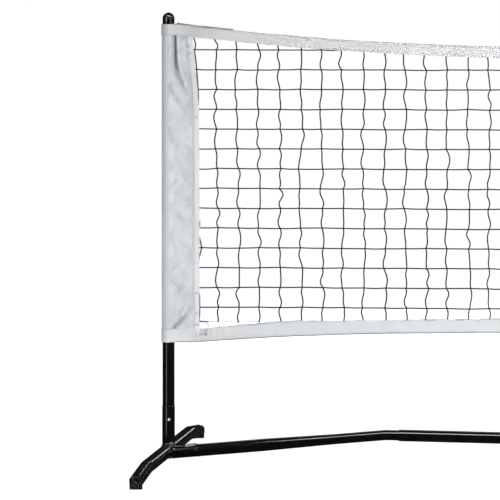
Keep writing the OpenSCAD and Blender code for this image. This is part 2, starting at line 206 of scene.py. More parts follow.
class Tubes:
    """Collects cords, lumps and stitches into one mesh, with UVs round and along each cord."""

    def __init__(self):
        self.verts, self.faces, self.uvs = [], [], []
        self.count = 0

    def add(self, verts, faces, uvs):
        self.verts.append(np.asarray(verts, float))
        self.uvs.append(np.asarray(uvs, float))
        self.faces.extend(tuple(int(i) + self.count for i in f) for f in faces)
        self.count += len(verts)

    def cord(self, points, radius, sides, closed=False):
        p = np.asarray(points, float)
        n = len(p)
        r = np.broadcast_to(np.asarray(radius, float), (n,))
        ahead = np.roll(p, -1, 0) if closed else np.vstack([p[1:], p[-1:]])
        behind = np.roll(p, 1, 0) if closed else np.vstack([p[:1], p[:-1]])
        tangents = unit(ahead - behind)
        # one side direction is carried along the cord, so that it never twists
        side = np.array([0.0, 1.0, 0.0]) if abs(tangents[0][1]) < 0.9 else np.array([1.0, 0, 0])
        a = 2 * np.pi * np.arange(sides) / sides
        verts, uvs = [], []
        length = 0.0
        for i, t in enumerate(tangents):
            side = unit(side - t * (side @ t))
            other = np.cross(t, side)
            length += np.linalg.norm(p[i] - p[i - 1]) if i else 0.0
            verts.append(p[i] + r[i] * (np.cos(a)[:, None] * side + np.sin(a)[:, None] * other))
            uvs.append(np.stack([a / (2 * np.pi), np.full(sides, length)], 1))
        faces = []
        for i in range(n if closed else n - 1):
            low, high = i * sides, (i + 1) % n * sides
            for k in range(sides):
                m = (k + 1) % sides
                faces.append((low + k, low + m, high + m, high + k))
        if not closed:
            faces.append(tuple(range(sides))[::-1])
            faces.append(tuple((n - 1) * sides + k for k in range(sides)))
        self.add(np.vstack(verts), faces, np.vstack(uvs))

    def lump(self, centre, scale, template):
        verts, faces = template
        self.add(np.asarray(centre) + verts * scale, faces, verts[:, :2] * 4 * MM)

    def stitches(self, path, pitch, length, radius):
        """A run of short raised stitches along a path."""
        p = np.asarray(path, float)
        run = np.concatenate([[0], np.cumsum(np.linalg.norm(np.diff(p, axis=0), axis=1))])
        at = np.arange(pitch / 2, run[-1], pitch)

        def place(d):
            return np.stack([np.interp(d, run, p[:, k]) for k in range(3)], 1)

        way = unit(place(at + length / 2) - place(at - length / 2))
        helper = np.where(np.abs(way[:, 2:]) < 0.7, np.array([[0.0, 0, 1]]), np.array([[0.0, 1, 0]]))
        side = unit(np.cross(way, helper))
        other = np.cross(way, side)
        centre = place(at)
        for c, w, u, v in zip(centre, way, side, other):
            verts = [c - w * length / 2]
            for along in (-0.34, 0.34):
                for k in range(STITCH_SIDES):
                    a = 2 * math.pi * k / STITCH_SIDES
                    verts.append(c + w * length * along + radius * (math.cos(a) * u + math.sin(a) * v))
            verts.append(c + w * length / 2)
            self.add(verts, STITCH_FACES, [(0.0, 0.0)] * len(verts))

    def build(self, name):
        return mesh_object(name, np.vstack(self.verts), self.faces, np.vstack(self.uvs))


# a stitch is a point, two rings of this many points, and a point
STITCH_SIDES = 5
STITCH_FACES = (
    [(0, 1 + (k + 1) % 5, 1 + k) for k in range(5)]
    + [(1 + k, 1 + (k + 1) % 5, 6 + (k + 1) % 5, 6 + k) for k in range(5)]
    + [(11, 6 + k, 6 + (k + 1) % 5) for k in range(5)]
)


def ball_template(subdivisions=1):
    bm = bmesh.new()
    bmesh.ops.create_icosphere(bm, subdivisions=subdivisions, radius=1)
    verts = np.array([v.co for v in bm.verts])
    faces = [tuple(v.index for v in f.verts) for f in bm.faces]
    bm.free()
    return verts, faces


# ---- Materials, all from nodes ----


class Nodes:
    """A short way to write a node tree."""

    def __init__(self, name):
        self.mat = bpy.data.materials.new(name)
        self.mat.use_nodes = True
        self.tree = self.mat.node_tree
        self.tree.nodes.clear()
        out = self.tree.nodes.new("ShaderNodeOutputMaterial")
        self.shader = self.tree.nodes.new("ShaderNodeBsdfPrincipled")
        self.tree.links.new(self.shader.outputs[0], out.inputs[0])

    def put(self, target, value):
        if isinstance(value, bpy.types.NodeSocket):
            self.tree.links.new(value, target)
        else:
            target.default_value = value

    def node(self, kind, out=0, settings=None, **inputs):
        n = self.tree.nodes.new(kind)
        for k, v in (settings or {}).items():
            setattr(n, k, v)
        for k, v in inputs.items():
            key = int(k[1:]) if k[0] == "i" and k[1:].isdigit() else k.replace("_", " ")
            self.put(n.inputs[key], v)
        return n.outputs[out]

    def math(self, op, a, b=0.0):
        return self.node("ShaderNodeMath", settings={"operation": op}, i0=a, i1=b)

    def scaled(self, value, by, plus):
        return self.math("ADD", self.math("MULTIPLY", value, by), plus)

    def coords(self, scale=(1, 1, 1)):
        place = self.node("ShaderNodeTexCoord", 3)
        return self.node("ShaderNodeMapping", Vector=place, Scale=scale)

    def noise(self, vector, scale, detail=2.0, rough=0.5):
        inputs = {"Vector": vector, "Scale": scale, "Detail": detail, "Roughness": rough}
        return self.node("ShaderNodeTexNoise", **inputs)

    def wave(self, vector, direction, scale, distortion):
        settings = {"wave_type": "BANDS", "bands_direction": direction}
        inputs = {"Vector": vector, "Scale": scale, "Distortion": distortion}
        return self.node("ShaderNodeTexWave", 1, settings, **inputs)

    def ramp(self, value, stops):
        n = self.tree.nodes.new("ShaderNodeValToRGB")
        for element, (place, level) in zip(n.color_ramp.elements, stops):
            element.position = place
            element.color = (level, level, level, 1)
        self.put(n.inputs[0], value)
        return n.outputs[0]

    def mix(self, fac, a, b):
        n = self.tree.nodes.new("ShaderNodeMix")
        n.data_type = "RGBA"
        self.put(n.inputs[0], fac)
        for key, value in ((6, a), (7, b)):
            self.put(n.inputs[key], (*value, 1) if isinstance(value, tuple) else value)
        return n.outputs[2]

    def bump(self, height, strength, distance, normal=None):
        inputs = {"Height": height, "Strength": strength, "Distance": distance}
        if normal is not None:
            inputs["Normal"] = normal
        return self.node("ShaderNodeBump", **inputs)

    def done(self, **inputs):
        for k, v in inputs.items():
            self.put(self.shader.inputs[k.replace("_", " ")], (*v, 1) if isinstance(v, tuple) else v)
        return self.mat


def black_paint(name, worn):
    """Gloss black powder coat: orange-peel skin, dust, rubbed scratches, and steel where worn."""
    n = Nodes(name)
    co = n.coords()
    peel = n.noise(co, 900, 2)
    cloud = n.noise(co, 14, 4, 0.6)
    scratch = n.ramp(n.noise(n.coords((30, 900, 60)), 2.0, 3), ((0.62, 0.0), (0.70, 1.0)))
    colour = n.mix(cloud, (0.0012, 0.0012, 0.0014), (0.0035, 0.0035, 0.0039))
    colour = n.mix(n.math("MULTIPLY", scratch, 0.12), colour, (0.035, 0.035, 0.037))
    chips = n.ramp(n.noise(co, 420, 4, 0.7), ((0.56, 0.0), (0.66, worn)))
    colour = n.mix(chips, colour, (0.42, 0.42, 0.41))
    rough = n.scaled(cloud, 0.08, 0.09)
    return n.done(
        Base_Color=colour,
        Metallic=n.math("MULTIPLY", chips, 0.6),
        Roughness=n.math("ADD", rough, n.math("MULTIPLY", scratch, 0.10)),
        Specular_IOR_Level=0.45,
        Normal=n.bump(peel, 0.06, 0.00025),
    )


def black_plastic():
    n = Nodes("black_moulded_plastic")
    co = n.coords()
    swirl = n.noise(co, 45, 3)
    dust = n.ramp(n.noise(co, 260, 5, 0.75), ((0.48, 0.0), (0.80, 1.0)))
    black = n.mix(swirl, (0.0015, 0.0015, 0.0018), (0.004, 0.004, 0.0045))
    return n.done(
        Base_Color=n.mix(dust, black, (0.12, 0.12, 0.12)),
        Roughness=n.scaled(swirl, 0.10, 0.12),
        Specular_IOR_Level=0.5,
        Normal=n.bump(n.noise(co, 700, 2), 0.08, 0.0002),
    )


def nickel(name, light, dark, metallic):
    n = Nodes(name)
    brush = n.noise(n.coords((1, 1, 12)), 900, 3)
    return n.done(
        Base_Color=n.mix(brush, dark, light),
        Metallic=metallic,
        Roughness=n.scaled(brush, 0.2, 0.18),
        Normal=n.bump(brush, 0.15, 0.0001),
    )


def cloth_material(name, light, dark, tint):
    """Coated plain-weave polyester: weave bump, slubs, soft blotches, soiling, and painted shade in creases
    and corners.
    """
    n = Nodes(name)
    co = n.coords()
    weave = n.math("MAXIMUM", n.wave(co, "X", 620.0, 0.6), n.wave(co, "Z", 620.0, 0.6))
    slub = n.noise(n.coords((40, 40, 400)), 3.0, 2)
    blotch = n.noise(co, 9, 4, 0.55)
    soil = n.ramp(n.noise(co, 26, 5, 0.65), ((0.52, 0.0), (0.85, 0.09)))
    colour = n.mix(blotch, dark, light)
    colour = n.mix(n.math("MULTIPLY", slub, 0.22), colour, tint)
    colour = n.mix(n.math("MULTIPLY", weave, 0.10), colour, tint)
    colour = n.mix(soil, colour, (0.30, 0.28, 0.25))
    # painted shade: the crease attribute darkens the cloth in its folds and near the poles' top corners
    painted_shade_level = n.node("ShaderNodeAttribute", 2, {"attribute_name": "crease"})
    colour = n.mix(n.math("MULTIPLY", painted_shade_level, 0.65), colour, (0.10, 0.10, 0.13))
    normal = n.bump(n.noise(co, 95, 3, 0.6), 0.20, 0.0014)
    normal = n.bump(weave, 0.22, 0.00018, normal)
    return n.done(
        Base_Color=colour,
        Roughness=n.scaled(blotch, 0.15, 0.60),
        Specular_IOR_Level=0.3,
        Sheen_Weight=0.08,
        Normal=normal,
    )


def cord_material(name, groove_shade, high, twist):
    """Twisted cord: helical strands from the UVs, painted shade in the grooves between them, fuzzy grain,
    faint colour change.
    """
    n = Nodes(name)
    parts = n.tree.nodes.new("ShaderNodeSeparateXYZ")
    n.put(parts.inputs[0], n.node("ShaderNodeTexCoord", 2))
    turn = n.math("ADD", n.math("MULTIPLY", parts.outputs[1], 1 / twist), parts.outputs[0])
    strands = n.math("ABSOLUTE", n.math("SINE", n.math("MULTIPLY", turn, 3 * math.pi)))
    fuzz = n.noise(n.coords(), 1100, 2)
    return n.done(
        # the grooves between strands take the painted shade colour, the strands' crests the high one
        Base_Color=n.mix(n.math("MULTIPLY", n.math("ADD", strands, fuzz), 0.5), groove_shade, high),
        Roughness=n.scaled(fuzz, 0.3, 0.45),
        Specular_IOR_Level=0.25,
        Normal=n.bump(n.math("ADD", strands, n.math("MULTIPLY", fuzz, 0.3)), 0.5, 0.0004),
    )


def webbing_material():
    n = Nodes("black_webbing")
    co = n.coords()
    rib = n.wave(co, "X", 260.0, 0.4)
    fuzz = n.noise(co, 900, 3)
    return n.done(
        Base_Color=n.mix(rib, (0.012, 0.012, 0.013), (0.035, 0.035, 0.037)),
        Roughness=n.scaled(fuzz, 0.2, 0.7),
        Normal=n.bump(rib, 0.4, 0.0003),
    )


FLOOR_GLOW = 0.985


def floor_material():
    """Pale floor: to the camera a light table of even white, to mirror rays dim, so tubes stay black."""
    n = Nodes("pale_floor")
    paths = n.tree.nodes.new("ShaderNodeLightPath").outputs
    pale = n.mix(n.noise(n.coords(), 3, 3), (0.88, 0.88, 0.88), (0.92, 0.92, 0.92))
    pale = n.mix(paths["Is Camera Ray"], pale, (0.12, 0.12, 0.12))
    return n.done(
        Base_Color=n.mix(paths["Is Glossy Ray"], pale, (0.03, 0.03, 0.03)),
        Roughness=0.8,
        Specular_IOR_Level=0.0,
        Emission_Color=(1.0, 1.0, 1.0),
        Emission_Strength=n.math("MULTIPLY", paths["Is Camera Ray"], FLOOR_GLOW),
    )


PAINT = black_paint("black_powder_coat", 0.0)
WORN_PAINT = black_paint("worn_powder_coat", 0.75)
PLASTIC = black_plastic()
NICKEL = nickel("bright_nickel", (0.85, 0.85, 0.84), (0.65, 0.65, 0.64), 0.35)
ENAMEL = nickel("pale_enamelled_eyelet", (0.60, 0.62, 0.65), (0.48, 0.50, 0.53), 0.15)
SLEEVE_FABRIC = cloth_material(
    "pale_sleeve_cloth", (0.505, 0.527, 0.552), (0.445, 0.467, 0.492), (0.40, 0.42, 0.445)
)
BAND_FABRIC = cloth_material(
    "pale_band_cloth", (0.555, 0.572, 0.588), (0.50, 0.517, 0.533), (0.45, 0.465, 0.48)
)
TAPE = cloth_material("pale_hem_tape", (0.635, 0.652, 0.67), (0.575, 0.592, 0.61), (0.52, 0.535, 0.55))
BACKING = cloth_material(
    "grey_backing_tape", (0.42, 0.42, 0.41), (0.36, 0.36, 0.35), (0.30, 0.30, 0.29)
)
# painted shadow: a dark cord standing in for the shade along the bottom band's lower edge
EDGE_SHADOW_CORD = cord_material("painted_edge_shadow_cord", (0.10, 0.10, 0.12), (0.17, 0.17, 0.19), 1.6 * MM)
TACKS = cord_material("grey_violet_thread", (0.22, 0.22, 0.27), (0.40, 0.40, 0.45), 0.8 * MM)
THREAD = cord_material("pale_thread", (0.40, 0.42, 0.455), (0.60, 0.62, 0.65), 0.8 * MM)
# the twine's dark groove colour is painted shade between its two strands
TWINE = cord_material("pale_twine", (0.13, 0.13, 0.14), (0.70, 0.70, 0.72), 2.4 * MM)
CORD = cord_material("black_net_cord", (0.003, 0.003, 0.0035), (0.014, 0.014, 0.016), 3.2 * MM)
STEEL = nickel("rubbed_steel", (0.34, 0.34, 0.34), (0.16, 0.16, 0.16), 0.8)
BLUED = nickel("blued_steel", (0.030, 0.030, 0.034), (0.012, 0.012, 0.014), 0.6)
WEBBING = webbing_material()

CAD_FINISH = {
    "foot_tube": PAINT, "upright_socket": PAINT, "rail_socket": PAINT, "pole": PAINT,
    "end_rail": PAINT, "middle_rail": PAINT, "front_plug": PLASTIC, "rear_plug": PLASTIC,
    "pole_cap": PLASTIC, "pole_button": NICKEL, "rail_button": BLUED, "eyelet": ENAMEL,
}
for side, _ in SIDES:
    for part, material in CAD_FINISH.items():
        for cad_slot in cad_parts[f"{side}_{part}"].material_slots:
            cad_slot.link = "OBJECT"
            cad_slot.material = material


def build_clip(side, place):
    """A button's spring clip: the CAD clip's shape, copied and finished in nickel."""
    button, clip = f"{side}_{place}_button", f"{side}_{place}_clip"
    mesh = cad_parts[clip].data.copy()
    mesh.materials.clear()
    mesh.materials.append(NICKEL)
    obj = add_object(f"{clip}_spring", mesh)
    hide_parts(clip)
    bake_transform(obj)


for side, _ in SIDES:
    build_clip(side, "pole")
    build_clip(side, "rail")

# ---- Netting ----

CELL = 43.74 * MM
ROW_PITCH = 41.3 * MM
ROWS = 14
FIRST_ROW = NET_TOP - 54 * MM
CORD_R = 1.48 * MM
TOP_TUCK, LOW_TUCK = 12 * MM, 8 * MM    # how far from a band's outer edge the columns end
MESH_S = 56.6 * MM
STUB_END = 83 * MM              # the last row is black cord only this far, then pale lacing
LACING_END = 300 * MM
LACING_R = 0.55 * MM

# distance of the sleeve's hem edge from the pole's axis at heights below the net's top, mm
HEM_DROP = (0, 25, 50, 75, 105, 130, 160, 200, 615, 640)
HEM_AT = (48.4, 49.4, 51.4, 53.4, 56.6, 59.6, 61.8, 63.4, 63.8, 64.2)
# the netting's outermost cord slips in and out from behind the hem: height and distance, mm
EDGE_CORD = {
    "left": (
        (293, 303, 325, 350, 362, 403, 430, 438, 449, 461, 477, 489, 500, 516, 700, 760, 798, 829,
         861, 871, 890),
        (63.6, 64.6, 65.2, 64.6, 60.5, 60.5, 64.0, 67.0, 69.2, 66.4, 62.6, 63.8, 65.6, 60.5, 60.5,
         62.6, 60.4, 58.0, 54.2, 57.2, 51.5),
    ),
    "right": (
        (293, 330, 372, 384, 420, 540, 556, 572, 590, 612, 640, 700, 760, 798, 829, 861, 871, 890),
        (63.8, 65.4, 65.0, 60.5, 60.5, 60.5, 64.4, 67.6, 66.0, 63.4, 60.5, 60.5, 61.8, 60.0, 58.4,
         53.6, 56.0, 52.6),
    ),
}


def hem_s(z):
    return np.interp((NET_TOP - np.asarray(z)) / MM, HEM_DROP, HEM_AT) * MM


def row_height(i, x):
    z0 = FIRST_ROW - i * ROW_PITCH if i < ROWS else LAST_ROW
    drop = (1.2 + 2.6 * min(i, ROWS) / ROWS) * MM
    return z0 - drop * smooth((HALF - abs(x) - 0.1) / 0.7)


def knot_grid(rng, count):
    """Places of the knots: columns drift and lean a little, rows stay nearly level."""
    pitch = (2 * HALF - 2 * MESH_S) / count
    knots = {}
    for c in range(count + 1):
        x0 = -HALF + MESH_S + c * pitch
        way = -1 if x0 < 0 else 1
        s0 = HALF - abs(x0)
        drift = rng.normal(0, 1.3 * MM, ROWS + 2)
        drift = drift + np.convolve(rng.normal(0, 1.9 * MM, ROWS + 4), (0.3, 0.4, 0.3), "valid")
        for r in range(ROWS + 1):
            z = row_height(r, x0) + rng.normal(0, 0.5 * MM)
            lean = 3.0 * MM * (FIRST_ROW - z) / 0.55 - 1.0 * MM
            s = s0 + lean * math.exp(-s0 / 0.9) + drift[r]
            if c in (0, count):
                heights, places = EDGE_CORD["left" if c == 0 else "right"]
                s = float(np.interp(z / MM, heights, places)) * MM
            knots[c, r] = np.array([way * (HALF - s), rng.normal(0, 0.25 * MM), z])
    return knots


def column_path(rng, knots, c, edge):
    """One column's line: knots joined by slightly bowed cords, cut off inside the bands."""
    chain = [knots[c, r] for r in range(ROWS + 1)]
    x = chain[0][0]
    top, low = top_edge(x) - TOP_TUCK, low_edge(x) + LOW_TUCK
    way = 1 if x < 0 else -1
    while len(chain) > 1 and chain[0][2] > top - 4 * MM:
        chain.pop(0)
    chain.insert(0, np.array([chain[0][0] - way * 3.5 * MM + rng.normal(0, 1.2 * MM), 0, top]))
    if HALF - abs(x) > LACING_END:
        while chain[-1][2] < low + 4 * MM:
            chain.pop()
        chain.append(np.array([chain[-1][0] + rng.normal(0, 1.5 * MM), 0, low]))
    points = []
    for a, b in zip(chain[:-1], chain[1:]):
        size = min(1.0, abs(a[2] - b[2]) / ROW_PITCH)
        bow, ess, deep = rng.normal(0, 1, 3) * np.array([2.3, 1.5, 1.0]) * MM * size
        for t in np.arange(6) / 6:
            p = a + (b - a) * t
            p[0] += bow * math.sin(math.pi * t) + ess * math.sin(2 * math.pi * t)
            p[1] += deep * math.sin(math.pi * t)
            points.append(p)
    points.append(chain[-1])
    points = np.array(points)
    if edge:
        heights, places = EDGE_CORD["left" if x < 0 else "right"]
        s = np.interp(points[:, 2] / MM, heights, places) * MM
        points[:, 0] = np.sign(x) * (HALF - s)
        points[:, 1] = 0
    return points


def row_paths(rng, knots, r, count):
    """One row's line, from hem to hem, in two runs where the top band hides its middle."""
    runs, run = [], []
    for c in range(count + 1):
        k = knots[c, r]
        s = HALF - abs(k[0])
        hidden = k[2] > top_edge(k[0]) - 10 * MM or (r == ROWS and s > STUB_END)
        if hidden:
            if len(run) > 1:
                runs.append(run)
            run = []
            continue
        if c in (0, count):
            inner = math.copysign(HALF - hem_s(k[2]) + 5 * MM, k[0])
            end = np.array([inner, 0, k[2]])
            run += [end, k] if c == 0 else [k, end]
        else:
            run.append(k)
        if c < count:
            nxt = knots[c + 1, r]
            sag = abs(rng.normal(0, 0.35 * MM))
            for t in (1 / 3, 2 / 3):
                run.append(k + (nxt - k) * t - np.array([0, 0, sag]))
    if len(run) > 1:
        runs.append(run)
    return runs


def build_netting():
    rng = np.random.default_rng(11)
    tubes = Tubes()
    ball = ball_template()
    count = int(round((2 * HALF - 2 * MESH_S) / CELL))
    knots = knot_grid(rng, count)
    for c in range(count + 1):
        tubes.cord(column_path(rng, knots, c, c in (0, count)), CORD_R, 6)
    for r in range(ROWS + 1):
        for run in row_paths(rng, knots, r, count):
            if r == ROWS:
                # the black stub ends beside the corner eyelet
                way = 1 if run[0][0] < 0 else -1
                hem = run[0] if way > 0 else run[-1]
                z = hem[2]
                run = [hem, np.array([hem[0] + way * 9 * MM, 0, z + 0.4 * MM]),
                       np.array([-way * (HALF - STUB_END), 0, z - 0.5 * MM])]
            tubes.cord(run, CORD_R * 0.97, 6)
    for (c, r), k in knots.items():
        if k[2] > top_edge(k[0]) - TOP_TUCK or k[2] < low_edge(k[0]) + LOW_TUCK:
            continue
        size = np.array([2.4, 1.9, 2.1]) * rng.uniform(0.85, 1.15, 3) * MM
        tubes.lump(k, size, ball)
    for _, way in SIDES:
        # the net's corner is knotted through the eyelet
        tubes.lump((way * (EYELET_S - HALF), -3.0 * MM, EYELET_Z), np.array([2.3, 2.0, 2.2]) * MM, ball)
    netting = tubes.build("netting")
    finish_piece(netting, "net", CORD, ("row_cords", "column_cords"))
    return knots, count


def build_lacing(knots, count):
    """Pale lacing: runs along the last row and dips into the bottom band at each column."""
    rng = np.random.default_rng(12)
    tubes = Tubes()
    ball = ball_template()
    for start, step in ((0, 1), (count, -1)):
        way = 1 if start == 0 else -1
        points = [np.array([-way * (HALF - STUB_END + 6 * MM), -0.8 * MM, LAST_ROW])]
        c = start + step
        while HALF - abs(knots[c, ROWS][0]) < LACING_END - CELL:
            k = knots[c, ROWS]
            low = low_edge(k[0]) + LOW_H - 6 * MM
            tubes.lump(k + np.array([0, -0.5 * MM, 0]), np.full(3, 1.7 * MM), ball)
            points += [k, np.array([k[0] + way * 5 * MM, 0, low]), np.array([k[0] + way * 10 * MM, 0, low]),
                       k + np.array([way * 15 * MM, 0.4 * MM, rng.normal(0, 0.4 * MM)])]
            c += step
        last = knots[c, ROWS]
        points += [last, np.array([last[0], 0, low_edge(last[0]) + LOW_H - 8 * MM])]
        tubes.cord(points, LACING_R, 6)
    finish_piece(tubes.build("bottom_lacing"), "net", TWINE)


knots_, columns_ = build_netting()
build_lacing(knots_, columns_)

# ---- Bands ----

# painted shade: how much darker the cloth is painted near the poles' top corners
CORNER_PAINTED_SHADE = 0.30
LOOP_GAP = 0.9 * MM
CLOTH = 0.9 * MM
TONGUE_FROM, TONGUE_RUN = 3 * MM, 50 * MM
FLAT_FROM, FLAT_RUN = 60 * MM, 16 * MM
# how far down the band each row of points lies, from its free edge to its fold, and its half thickness
BAND_ROWS = np.array([0, 0.06, 0.14, 0.26, 0.40, 0.55, 0.70, 0.84, 0.93, 0.98, 1.0])
BAND_HALF = np.array([1.9, 2.3, 2.1, 2.1, 2.2, 2.2, 2.2, 2.3, 2.1, 1.5, 0.0]) * MM


def loop_y(s, gap=0.0):
    """Half width, at s, of the sleeve's loop round the pole and its tongue towards the mesh."""
    r = SLEEVE_R + gap
    s = np.asarray(s, float)
    round_part = np.sqrt(np.clip(r * r - s * s, 0, None))
    t = np.clip((s - TONGUE_FROM) / TONGUE_RUN, 0, 1)
    flat = 1.5 * MM + gap
    return np.where(s < TONGUE_FROM, round_part, flat + (r - flat) * (1 - t) ** 1.7)


def flatness(s):
    """How far a band has closed from the sleeve's width to its own: 0 on the sleeve, 1 clear of it."""
    return smooth((s - FLAT_FROM) / FLAT_RUN)


def top_height(s):
    return TOP_H * np.interp(s / MM, (0, 60, 90, 200, 1500), (1.0, 0.98, 0.95, 0.96, 0.98))


def low_height(s):
    return LOW_H * np.interp(s / MM, (0, 60, 75, 90, 150, 212, 275, 340, 1500),
                             (1.0, 1.0, 0.97, 0.98, 1.04, 1.10, 1.18, 1.03, 1.0))


def loop_lift(s):
    """How far the bottom band's lower edge is drawn up round the pole."""
    return 2.2 * MM * (1 - float(smooth((s - 12 * MM) / (30 * MM))))


class Band:
    """A strip folded over the net's edge and carried round both poles."""

    def __init__(self, edge, height, down, seed):
        self.edge, self.height, self.down, self.seed = edge, height, down, seed

    def waves(self, x, way):
        broad = wander(x + 3.0 * way, self.seed, 9, 0.42)
        fine = wander(x + 5.0 * way, self.seed + 1, 9, 0.09)
        return float(broad), float(fine)

    def edge_at(self, x, s):
        if s > STRIP_S:
            return float(self.edge(x))
        share = float(corner_share(s))
        return NET_TOP - TOP_DROP * share if self.down else NET_LOW + LOW_LIFT * share + loop_lift(s)

    def section(self, side_x, s, way, lift=0.0):
        """Points of the band's cross-section at one place: from the free edge to the fold."""
        x = side_x * (HALF - s)
        fold = float(flatness(s))
        wide = float(loop_y(s, LOOP_GAP))
        broad, fine = self.waves(x, way)
        y = wide * (1 - fold) + BAND_HALF * fold
        # the cloth is puckered between its two stitch lines, and nips in at a crease near each corner
        belly = np.sin(np.pi * np.clip(BAND_ROWS * 1.06, 0, 1))
        nip = 0
        if side_x * way > 0 or way < 0:
            nip = math.exp(-(((s - 86.5 * MM) / (1.8 * MM)) ** 2)) * 0.9 * MM
        y = y + (0.40 * MM * broad + 0.32 * MM * fine - nip) * belly + 0.45 * MM * fine * (1 - BAND_ROWS) ** 3
        edge = self.edge_at(x, s)
        h = float(self.height(s)) * (1 + 0.015 * broad)
        inward = -1 if self.down else 1
        z = edge + inward * h * (1 - BAND_ROWS) + 0.4 * MM * fine * (1 - BAND_ROWS) ** 2
        z = z + 0.35 * MM * broad * smooth((s - FLAT_FROM) / 0.1)
        return np.stack([np.full(len(BAND_ROWS), x), way * (y + lift), z], 1)

    def round_pole(self, side_x, a):
        r = SLEEVE_R + LOOP_GAP
        edge = NET_TOP if self.down else NET_LOW + loop_lift(0)
        inward = -1 if self.down else 1
        h = float(self.height(0))
        z = edge + inward * h * (1 - BAND_ROWS)
        x = side_x * (HALF - r * math.cos(a))
        return np.stack([np.full(len(z), x), np.full(len(z), -r * math.sin(a)), z], 1)

    def build(self, name, node):
        run = np.concatenate([np.arange(HALF, 0.12, -0.007), np.arange(0.12, 0.002, -0.003)])
        columns = []
        for side_x in (-1, 1):
            leg = [self.section(side_x, s, -1) for s in run]
            leg += [self.round_pole(side_x, math.radians(a)) for a in np.linspace(88, 272, 25)[1:-1]]
            leg += [self.section(side_x, s, 1) for s in run[::-1]]
            columns += (leg if side_x < 0 else leg[::-1])[:-1]
        rows = len(BAND_ROWS)
        co = np.vstack(columns)
        obj = mesh_object(name, co, grid_faces(len(columns), rows, closed=True))
        if self.down:
            # painted shade, darker near the poles
            painted_corner_shade = CORNER_PAINTED_SHADE * (1 - smooth((HALF - np.abs(co[:, 0]) - 40 * MM) / (80 * MM)))
            obj.data.attributes.new("crease", "FLOAT", "POINT").data.foreach_set("value", painted_corner_shade)
        thicken(obj, CLOTH)
        return finish_piece(obj, "net", BAND_FABRIC, (node,))

    def line(self, side_x, way, share, start, end, step=4 * MM):
        """A path on the band's outer face, a share of the way from its free edge to its fold."""
        points = []
        for s in np.arange(start, end, step):
            cut = self.section(side_x, s, way, CLOTH / 2)
            points.append([np.interp(share, BAND_ROWS, cut[:, k]) for k in range(3)])
        return points

    def stitching(self, name):
        tubes = Tubes()
        for side_x in (-1, 1):
            for way in (-1, 1):
                for share in (0.10, 0.88):
                    path = self.line(side_x, way, share, 14 * MM, HALF)
                    tubes.stitches(path, 4.2 * MM, 3.0 * MM, 0.32 * MM)
        finish_piece(tubes.build(name), "net", THREAD)


def build_edge_shadow_cord(band, name):
    """A dark cord along a band's outer edge, once round the whole net: painted shadow under the band's fold.
    """
    path = []
    for side_x in (-1, 1):
        leg = [band.section(side_x, s, -1)[-1] for s in np.arange(HALF, 13 * MM, -6 * MM)]
        path += leg[::-1] if side_x < 0 else leg
    path = np.array(path)
    path[:, 1] -= 1.1 * MM * flatness(HALF - np.abs(path[:, 0]))
    path[:, 2] -= 0.7 * MM
    tubes = Tubes()
    tubes.cord(path, 0.8 * MM, 7)
    finish_piece(tubes.build(name), "net", EDGE_SHADOW_CORD)


TOP_BAND = Band(top_edge, top_height, True, 21)
LOW_BAND = Band(low_edge, low_height, False, 35)
TOP_BAND.build("top_band_cloth", "top_band")
LOW_BAND.build("bottom_band_cloth", "bottom_band")
TOP_BAND.stitching("top_band_stitching")
LOW_BAND.stitching("bottom_band_stitching")
build_edge_shadow_cord(LOW_BAND, "bottom_band_edge_shadow")


def build_backing(side, sign):
    """A grey reinforcing tape behind the top band's corner, a little proud of its edge."""
    columns = []
    shares = np.array([0.30, 0.55, 0.80, 1.0])
    for s in np.arange(15 * MM, 136.5 * MM, 3 * MM):
        cut = TOP_BAND.section(-sign, s, 1, CLOTH + 0.3 * MM)
        fold = float(flatness(s))
        behind = loop_y(s, LOOP_GAP) * (1 - fold) + 2.4 * MM * fold + CLOTH + 0.3 * MM
        x, edge = cut[0, 0], cut[-1, 2]
        low = [[x, behind, edge - (1 - t) * TOP_H] for t in shares]
        columns.append(low + [[x, behind + 0.2 * MM, edge + 1.4 * MM], [x, behind, edge + 2.6 * MM]])
    faces = grid_faces(len(columns), len(shares) + 2)
    obj = mesh_object(f"{side}_band_backing", np.vstack(columns), faces)
    thicken(obj, 0.8 * MM)
    finish_piece(obj, "net", BACKING)


for side_, sign_ in SIDES:
    build_backing(side_, sign_)


def build_strap(name, node):
    """Flat webbing with rounded selvedges, in the CAD strap's place."""
    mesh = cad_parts[node].data
    co = np.array([v.co for v in mesh.vertices])
    xs = np.unique(np.round(co[:, 0], 4))
    columns = []
    shape = [(0.0, 0.35), (0.06, 0.9), (0.25, 0.75), (0.5, 0.85), (0.75, 0.75), (0.94, 0.9), (1.0, 0.35)]
    half = co[:, 1].max()
    for x in xs:
        z = co[np.abs(co[:, 0] - x) < 1e-4, 2]
        low, high = z.min(), z.max()
        front = [[x, -half * wide, low + (high - low) * t] for t, wide in shape]
        back = [[x, half * wide, low + (high - low) * t] for t, wide in shape[::-1]]
        columns.append(front + back)
    around = 2 * len(shape)
    faces = []
    for i in range(len(columns) - 1):
        for k in range(around):
            m = (k + 1) % around
            a, b = i * around, (i + 1) * around
            faces.append((a + k, b + k, b + m, a + m))
    faces.append(tuple(range(around)))
    faces.append(tuple((len(columns) - 1) * around + k for k in range(around))[::-1])
    obj = mesh_object(name, np.vstack(columns), faces)
    finish_piece(obj, "net", WEBBING, (node,))


build_strap("head_strap_webbing", "head_strap")
build_strap("foot_strap_webbing", "foot_strap")

# ---- Sleeves ----


